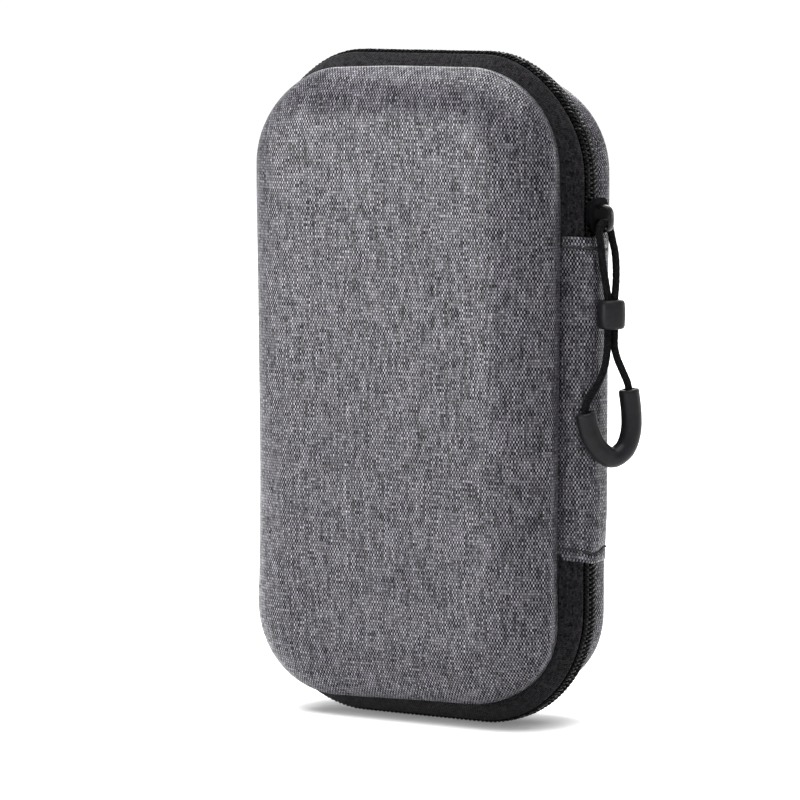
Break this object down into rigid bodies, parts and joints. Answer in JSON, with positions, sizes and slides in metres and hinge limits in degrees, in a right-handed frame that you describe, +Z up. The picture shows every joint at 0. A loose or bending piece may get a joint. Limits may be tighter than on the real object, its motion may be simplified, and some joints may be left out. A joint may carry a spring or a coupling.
{
  "type": "zip case",
  "caption": "Hard cloth-covered zip case for a glucose meter that opens like a book, with a coil zip, slider, cord pull, net pocket and elastic straps.",
  "frame": {"origin": "middle of the lower edge that the closed case stands on, at the lowest point of the zip", "axes": "+Z up along the case's height, +Y out of the back face, +X towards the hinge side; the lid faces -Y"},
  "size_m": [0.1093, 0.04, 0.17],
  "materials": {
    "cover_cloth": "grey melange plain weave",
    "foam": "moulded EVA foam board",
    "lining_cloth": "black knitted lining",
    "woven_tape": "black woven polyester tape",
    "coil_nylon": "black nylon coil",
    "slider_enamel": "gloss black enamel on die-cast zinc",
    "cord": "black braided cord",
    "pull_rubber": "matte black moulded rubber",
    "elastic": "black woven elastic",
    "net": "black knitted net"
  },
  "bodies": {
    "base": {"base_cover": "cover_cloth", "base_shell": "foam", "base_lining": "lining_cloth", "base_binding": "woven_tape", "base_zip_tape": "woven_tape", "base_zip_coil": "coil_nylon", "elastic_strap_upper": "elastic", "elastic_strap_lower": "elastic"},
    "spine": {"hinge_patch": "cover_cloth", "hinge_liner": "lining_cloth", "zip_tape_end_upper_front": "woven_tape", "zip_tape_end_upper_rear": "woven_tape", "zip_tape_end_lower_front": "woven_tape", "zip_tape_end_lower_rear": "woven_tape", "zip_coil_end_upper_front": "coil_nylon", "zip_coil_end_upper_rear": "coil_nylon", "zip_coil_end_lower_front": "coil_nylon", "zip_coil_end_lower_rear": "coil_nylon"},
    "lid": {"lid_cover": "cover_cloth", "lid_shell": "foam", "lid_lining": "lining_cloth", "lid_binding": "woven_tape", "lid_zip_tape": "woven_tape", "lid_zip_coil": "coil_nylon", "mesh_pocket": "net", "mesh_pocket_hem": "elastic"},
    "slider": {"slider_body": "slider_enamel", "slider_bail": "slider_enamel"},
    "pull": {"pull_cord": "cord", "pull_grip": "pull_rubber"},
    "bead": {"pull_bead": "pull_rubber"}
  },
  "joints": [
    {"name": "spine_fold", "type": "hinge", "parent": "base", "child": "spine", "pos_m": [0.0493, 0.0042, 0.085], "axis": [0, 0, 1], "range_deg": [0, 90]},
    {"name": "lid_fold", "type": "hinge", "parent": "spine", "child": "lid", "pos_m": [0.0493, -0.0042, 0.085], "axis": [0, 0, 1], "range_deg": [0, 90]},
    {"name": "slider_slide", "type": "slide", "parent": "spine", "child": "slider", "axis": [0, 0, 1], "range_m": [0, 0.0044]},
    {"name": "pull_swing", "type": "hinge", "parent": "slider", "child": "pull", "pos_m": [0.05175, 0, 0.12785], "axis": [0, -1, 0], "range_deg": [0, 170]},
    {"name": "bead_slide", "type": "slide", "parent": "pull", "child": "bead", "axis": [0, 0, -1], "range_m": [0, 0.003]}
  ],
  "couplings": [
    {"joint": "lid_fold", "follows": "spine_fold", "ratio": 1}
  ]
}
